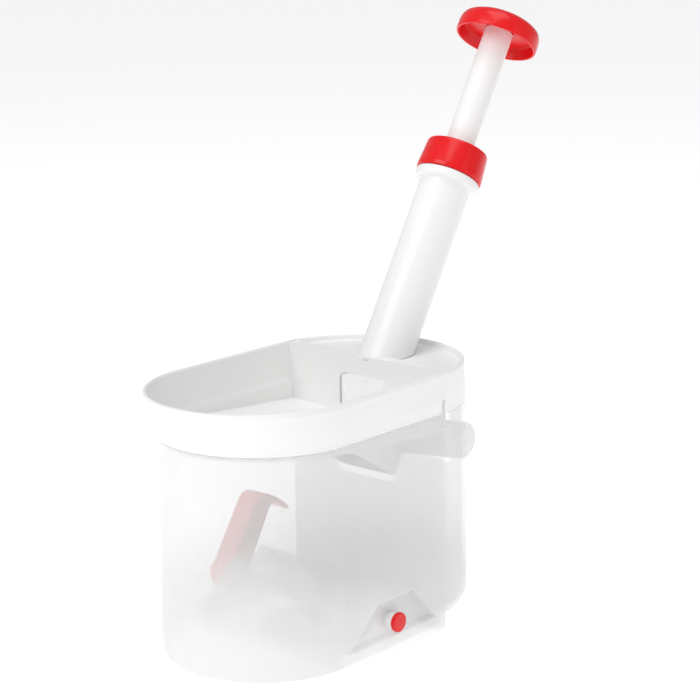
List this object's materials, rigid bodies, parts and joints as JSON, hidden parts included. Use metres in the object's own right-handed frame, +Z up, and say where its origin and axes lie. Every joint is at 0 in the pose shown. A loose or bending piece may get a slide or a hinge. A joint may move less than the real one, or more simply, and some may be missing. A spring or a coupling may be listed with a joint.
{
  "type": "cherry pitter",
  "caption": "Hand cherry and olive pitter: oval hopper, slanted spring plunger with needle, rear chute, frosted stone container and lever suction foot.",
  "frame": {"origin": "middle of the whole object's footprint box, on the surface that it stands on", "axes": "+Z up; +X towards the back, where the chute leaves; +Y towards the side with the suction lever"},
  "size_m": [0.2852, 0.1328, 0.3236],
  "materials": {
    "white_plastic": "moulded, satin gloss",
    "frosted_plastic": "translucent, frosted",
    "red_plastic": "moulded, glossy",
    "clear_soft_plastic": "clear and soft",
    "silicone": "soft, matte",
    "steel": "bright"
  },
  "bodies": {
    "base": {"collecting_container": "frosted_plastic"},
    "head": {"hopper_tray": "white_plastic", "seat_housing": "white_plastic", "seat_plate": "white_plastic", "seat_gasket": "silicone", "gasket_retainer": "white_plastic", "ejector_chute": "white_plastic", "plunger_barrel": "white_plastic", "spring_washer": "steel", "return_spring": "steel", "guide_bush": "white_plastic"},
    "cap": {"cap_ring": "red_plastic"},
    "plunger": {"plunger_rod": "white_plastic", "needle_holder": "white_plastic", "pitting_needle": "steel", "knob": "red_plastic", "knob_screw": "steel", "knob_plug": "red_plastic"},
    "lever": {"cam_shaft": "white_plastic", "shaft_cap": "red_plastic", "suction_lever": "red_plastic", "lever_screw": "steel"},
    "cup": {"suction_cup": "clear_soft_plastic", "cup_yoke": "white_plastic"}
  },
  "joints": [
    {"name": "head_lift", "type": "slide", "parent": "base", "child": "head", "axis": [0, 0, 1], "range_m": [0, 0.06]},
    {"name": "cap_turn", "type": "hinge", "parent": "head", "child": "cap", "pos_m": [0.0204, -0.0081, 0.143], "axis": [0.5225, 0, 0.8526], "range_deg": [0, 60]},
    {"name": "plunger_press", "type": "slide", "parent": "head", "child": "plunger", "axis": [-0.5225, 0, -0.8526], "range_m": [0, 0.05], "stiffness_N_per_m": 250, "springref_m": -0.03, "deforming": ["return_spring"]},
    {"name": "lever_turn", "type": "hinge", "parent": "base", "child": "lever", "pos_m": [-0.0421, -0.0081, 0.0165], "axis": [0, -1, 0], "range_deg": [0, 90]},
    {"name": "cup_lift", "type": "slide", "parent": "base", "child": "cup", "axis": [0, 0, 1], "range_m": [0, 0.0026]}
  ],
  "couplings": [
    {"joint": "cup_lift", "follows": "lever_turn", "m_per_rad": 0.001592}
  ]
}
